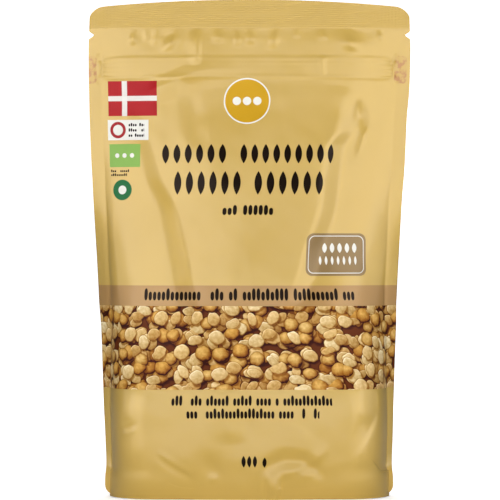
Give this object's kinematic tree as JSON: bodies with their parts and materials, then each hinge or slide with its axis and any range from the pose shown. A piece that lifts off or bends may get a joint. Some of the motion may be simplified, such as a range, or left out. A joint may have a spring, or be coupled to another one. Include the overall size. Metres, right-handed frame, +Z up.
{
  "type": "stand-up food pouch",
  "caption": "Sealed stand-up pouch of dried split peas, swollen by its contents, with a ribbed top seal, side seals, tear notches, a press-to-close strip and an opened bottom fold.",
  "frame": {"origin": "on the table, under the middle of the base", "axes": "+Z up, front of the pouch towards -Y, +X to the right as seen from the front"},
  "size_m": [0.139, 0.0523, 0.215],
  "materials": {
    "film": "printed laminate, satin gold"
  },
  "bodies": {
    "root": {"pouch": "film"}
  },
  "joints": []
}
